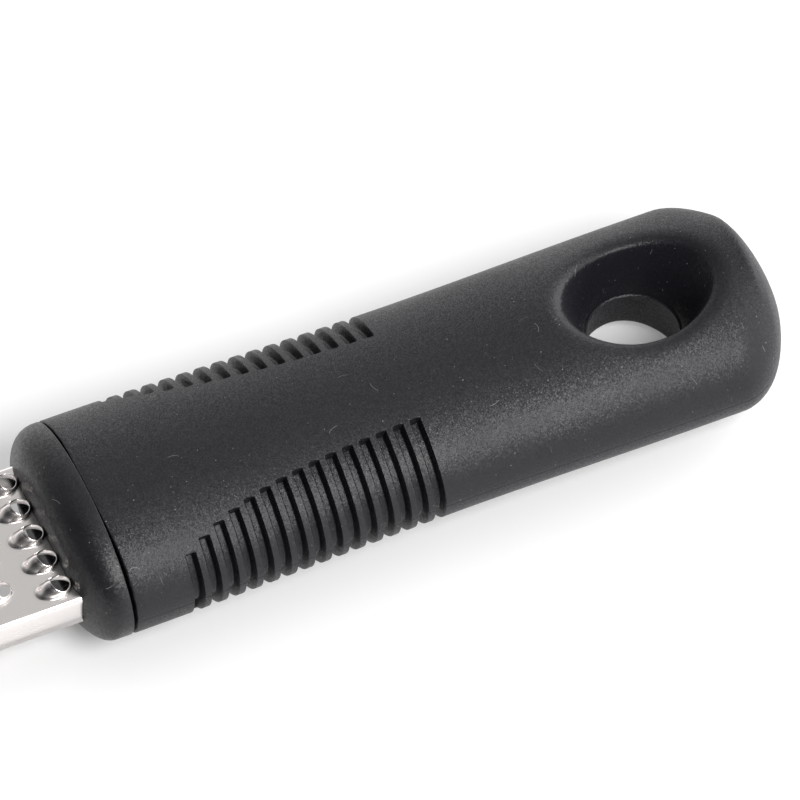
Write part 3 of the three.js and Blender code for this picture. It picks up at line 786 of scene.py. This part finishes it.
def half_hole(mouth):
    """Rows from the block's outline to the waist. The skin curls down to the hole's lip, along a curve
    that a place on the skin just outside the lip draws to itself, and rounds over the lip into the wall.
    The lip, where the wall meets the lowered skin, is found by stepping between the two."""
    turn = np.arctan2(loop[:, 1] / mouth["width"], (loop[:, 0] - mouth["x"]) / mouth["length"])
    height = np.full(len(loop), HOLE_RIM_HEIGHT)
    for _ in range(LIP_TRIES):
        lip = hole_wall(turn, height, mouth)
        height = top_height(lip[:, 0], lip[:, 1]) - LIP_DROP
    lip = hole_wall(turn, height, mouth)
    away = lip[:, :2] - [mouth["x"], 0]
    away /= np.linalg.norm(away, axis=1, keepdims=True)

    def on_skin(reach):
        """Places on the skin at a reach outwards from the lip, measured in plan."""
        plan = lip[:, :2] + reach * away
        return np.column_stack([plan, top_height(plan[:, 0], plan[:, 1])])

    def curve(start, pull, stop, shares):
        """Rows at shares t of a curve from start to stop that a third place draws to itself: their sum,
        with weights of one minus t squared, twice t times one minus t, and t squared."""
        t = np.array(shares)[:, None, None]
        return (1 - t) ** 2 * start + 2 * t * (1 - t) * pull + t ** 2 * stop

    start = on_skin(LIP_ROUND)
    approach = blend(loop, start, np.array([0, 0.3, 0.55, 0.8])[:, None, None])
    approach[1:, :, 2] = top_height(approach[1:, :, 0], approach[1:, :, 1])
    approach[0, :, 2] = np.abs(loop[:, 2])
    curl = curve(start, on_skin(LIP_LEAN), lip, [0, 0.12, 0.25, 0.38, 0.5, 0.6])
    below = hole_wall(turn, height - LIP_EDGE, mouth)
    edge = curve(curl[-1], lip, below, [0.15, 0.3, 0.45, 0.6, 0.8, 1])
    wall = [hole_wall(turn, (height - LIP_EDGE) * share, mouth)
            for share in (0.93, 0.85, 0.75, 0.6, 0.45, 0.3, 0.17, 0.08)]
    bead = [hole_wall(turn, HOLE_BEAD_HEIGHT * share, mouth) for share in (1.6, 1, 0.5, 0)]
    return np.concatenate([approach, curl, edge, np.stack(wall + bead)])


upper_half = half_hole(HOLE_UPPER)
lower_half = half_hole(HOLE_LOWER) * [1, 1, -1]
hole_rows = np.concatenate([upper_half, lower_half[::-1]])

# The sleeve's quads without the two blocks that the hole's rows take the place of.
quads = grid_faces(len(sleeve_rows), line_count, True)
row_of, line_of = np.divmod(np.arange(len(quads)), line_count)
in_rows = (row_of >= first) & (row_of < last)
over = (line_of >= side_line) & (line_of < far_line)
under = (line_of >= line_count - far_line) & (line_of < line_count - side_line)
kept = quads[~(in_rows & (over | under))]
hole_quads = grid_faces(len(hole_rows), len(loop), True) + len(sleeve_rows) * line_count
points = np.concatenate([sleeve_rows.reshape(-1, 3), hole_rows.reshape(-1, 3)])
grip = skin("grip", points, np.concatenate([kept, hole_quads]), sharp_angle=60)
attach(grip, "root")
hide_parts("grip_sleeve")

# Black thermoplastic elastomer, moulded with a fine matte grain that breaks its soft shine into speckles.
# The grain is drawn at 0.15 mm, as coarse as it needs to show, and hands have smeared the shine.
SMEAR = 16 * MM
GRIP_GRAIN, GRIP_TILT = 0.15 * MM, 0.3
tree = finish("moulded_soft_touch_elastomer", grip)
place = add(tree, "ShaderNodeTexCoord").outputs["Object"]
smear = add(tree, "ShaderNodeTexNoise", {"Vector": place, "Scale": 1 / SMEAR, "Detail": 4.0})
rough = add(tree, "ShaderNodeMapRange", {
    "Value": smear.outputs["Fac"], "From Min": 0.3, "From Max": 0.7, "To Min": 0.42, "To Max": 0.48,
})
soft = add(tree, "ShaderNodeBsdfPrincipled", {
    "Base Color": dusted(tree, place, "#16151b"), "IOR": 1.45,
    "Roughness": rough.outputs["Result"], "Normal": grained(tree, place, GRIP_GRAIN, GRIP_TILT),
})
add(tree, "ShaderNodeOutputMaterial", {"Surface": soft.outputs["BSDF"]})

# Floor: a sheet of white paper under the tool, 6 m square. The camera and mirror-like surfaces see part
# of its white by itself, so that it stays white up to the tool's soft shadow. From here on, sizes are in
# metres where they aren't marked.
FLOOR_HALF = 3.0
OWN_WHITE = 0.13
mesh = bpy.data.meshes.new("floor")
corners = FLOOR_HALF * np.array([(-1, -1, 0), (1, -1, 0), (1, 1, 0), (-1, 1, 0)])
mesh.from_pydata(corners.tolist(), [], [(0, 1, 2, 3)])
floor = bpy.data.objects.new("floor", mesh)
bpy.context.scene.collection.objects.link(floor)
tree = finish("white_paper", floor)
ray = add(tree, "ShaderNodeLightPath").outputs
seen = ray["Is Camera Ray"]
for kind in ("Is Glossy Ray", "Is Transmission Ray"):
    seen = add(tree, "ShaderNodeMath", {0: seen, 1: ray[kind]}, operation="MAXIMUM").outputs["Value"]
share = add(tree, "ShaderNodeMath", {0: seen, 1: OWN_WHITE}, operation="MULTIPLY")
paper = add(tree, "ShaderNodeBsdfDiffuse", {"Color": linear("#ffffff")})
white = add(tree, "ShaderNodeEmission", {"Color": linear("#ffffff"), "Strength": 1.0})
mixed = add(tree, "ShaderNodeMixShader", {
    0: share.outputs["Value"], 1: paper.outputs["BSDF"], 2: white.outputs["Emission"],
})
add(tree, "ShaderNodeOutputMaterial", {"Surface": mixed.outputs["Shader"]})

# Studio light: a white room whose walls brighten from the blade's side to the butt's, under a dimmer
# ceiling that darkens over the blade. The room is dark behind the camera. A soft box high on the near
# side lays a band of light along the grip's shoulder, and a wider one stands off the butt.
LEFT_WALL, RIGHT_WALL = 0.5, 2.6
CEILING_FROM = 0.65
CEILING_LEFT, CEILING_RIGHT = 0.15, 0.6
CEILING_LEFT_X, CEILING_RIGHT_X = -0.5, 0.2
DARK_SIDE, DARK_LEVEL = (-40, 34), 0.2
DARK_EDGE, DARK_CORE = 0.5, 0.78


def direction(azimuth, elevation):
    """The direction from the tool towards a place around it, as the viewing angles are counted: sine of
    the azimuth to the right and cosine to the near side, both times the elevation's cosine, and its sine
    up."""
    a, e = np.radians([azimuth, elevation])
    return np.array([np.sin(a) * np.cos(e), -np.cos(a) * np.cos(e), np.sin(e)])


world = bpy.data.worlds.new("white_room")
bpy.context.scene.world = world
world.use_nodes = True
tree = world.node_tree
tree.nodes.clear()
outlook = add(tree, "ShaderNodeTexCoord").outputs["Generated"]
way = add(tree, "ShaderNodeSeparateXYZ", {"Vector": outlook}).outputs
wall_level = add(tree, "ShaderNodeMapRange", {
    "Value": way["X"], "From Min": -1.0, "From Max": 1.0, "To Min": LEFT_WALL, "To Max": RIGHT_WALL,
})
ceiling_level = add(tree, "ShaderNodeMapRange", {
    "Value": way["X"], "From Min": CEILING_LEFT_X, "From Max": CEILING_RIGHT_X,
    "To Min": CEILING_LEFT, "To Max": CEILING_RIGHT,
})
room_level = add(tree, "ShaderNodeMapRange", {
    "Value": way["Z"], "From Min": 0.0, "From Max": CEILING_FROM,
    "To Min": wall_level.outputs["Result"], "To Max": ceiling_level.outputs["Result"],
})
dark_share = add(tree, "ShaderNodeVectorMath", {
    0: outlook, 1: direction(*DARK_SIDE),
}, operation="DOT_PRODUCT")
dimmed = add(tree, "ShaderNodeMapRange", {
    "Value": dark_share.outputs["Value"], "From Min": DARK_EDGE, "From Max": DARK_CORE,
    "To Min": 1.0, "To Max": DARK_LEVEL,
})
level = add(tree, "ShaderNodeMath", {
    0: room_level.outputs["Result"], 1: dimmed.outputs["Result"],
}, operation="MULTIPLY")
room = add(tree, "ShaderNodeBackground", {"Color": linear("#ffffff"), "Strength": level.outputs["Value"]})
add(tree, "ShaderNodeOutputWorld", {"Surface": room.outputs["Background"]})


def aim(thing, target, back, distance):
    """Puts a lamp or camera at a distance from its target and turns it to face the target."""
    thing.location = target + back * distance
    thing.rotation_euler = Vector(-back).to_track_quat("-Z", "Y").to_euler()


# Lamps and camera aim at a place near the grip's middle, given in the handle's millimetres.
AIM_PLACE = [53.4, 2.85, 0]
LAMP_DISTANCE = 1.0
target = (HANDLE_ORIGIN + AIM_PLACE) * MM
for name, azimuth, elevation, width, power in (
        ("shoulder_box", 12, 50, 0.5, 8.6),
        ("end_box", 100, 28, 0.8, 3.6)):
    lamp = bpy.data.lights.new(name, "AREA")
    lamp.shape = "DISK"
    lamp.size = width
    lamp.energy = power
    holder = bpy.data.objects.new(name, lamp)
    bpy.context.scene.collection.objects.link(holder)
    aim(holder, target, direction(azimuth, elevation), LAMP_DISTANCE)

# Camera: a long lens, above the near side and a little towards the blade's tip. It aims slightly to the
# right of the lamps' target and over it. The sensor's width is in millimetres.
AZIMUTH, ELEVATION, DISTANCE = -23.9, 52.95, 1.667
PICTURE_WIDTH = 110.93 * MM
AIM_RIGHT, AIM_UP = 1.234 * MM, 0.146 * MM
SENSOR_WIDTH = 36.0
lens = bpy.data.cameras.new("camera")
camera = bpy.data.objects.new("camera", lens)
bpy.context.scene.collection.objects.link(camera)
bpy.context.scene.camera = camera
lens.sensor_width = SENSOR_WIDTH
lens.lens = SENSOR_WIDTH * DISTANCE / PICTURE_WIDTH
lens.clip_end = 20.0
view_back = direction(AZIMUTH, ELEVATION)
view_right = direction(AZIMUTH + 90, 0)
view_up = np.cross(view_back, view_right)
aim(camera, target + AIM_RIGHT * view_right + AIM_UP * view_up, view_back, DISTANCE)
bpy.context.scene.view_settings.view_transform = "Standard"
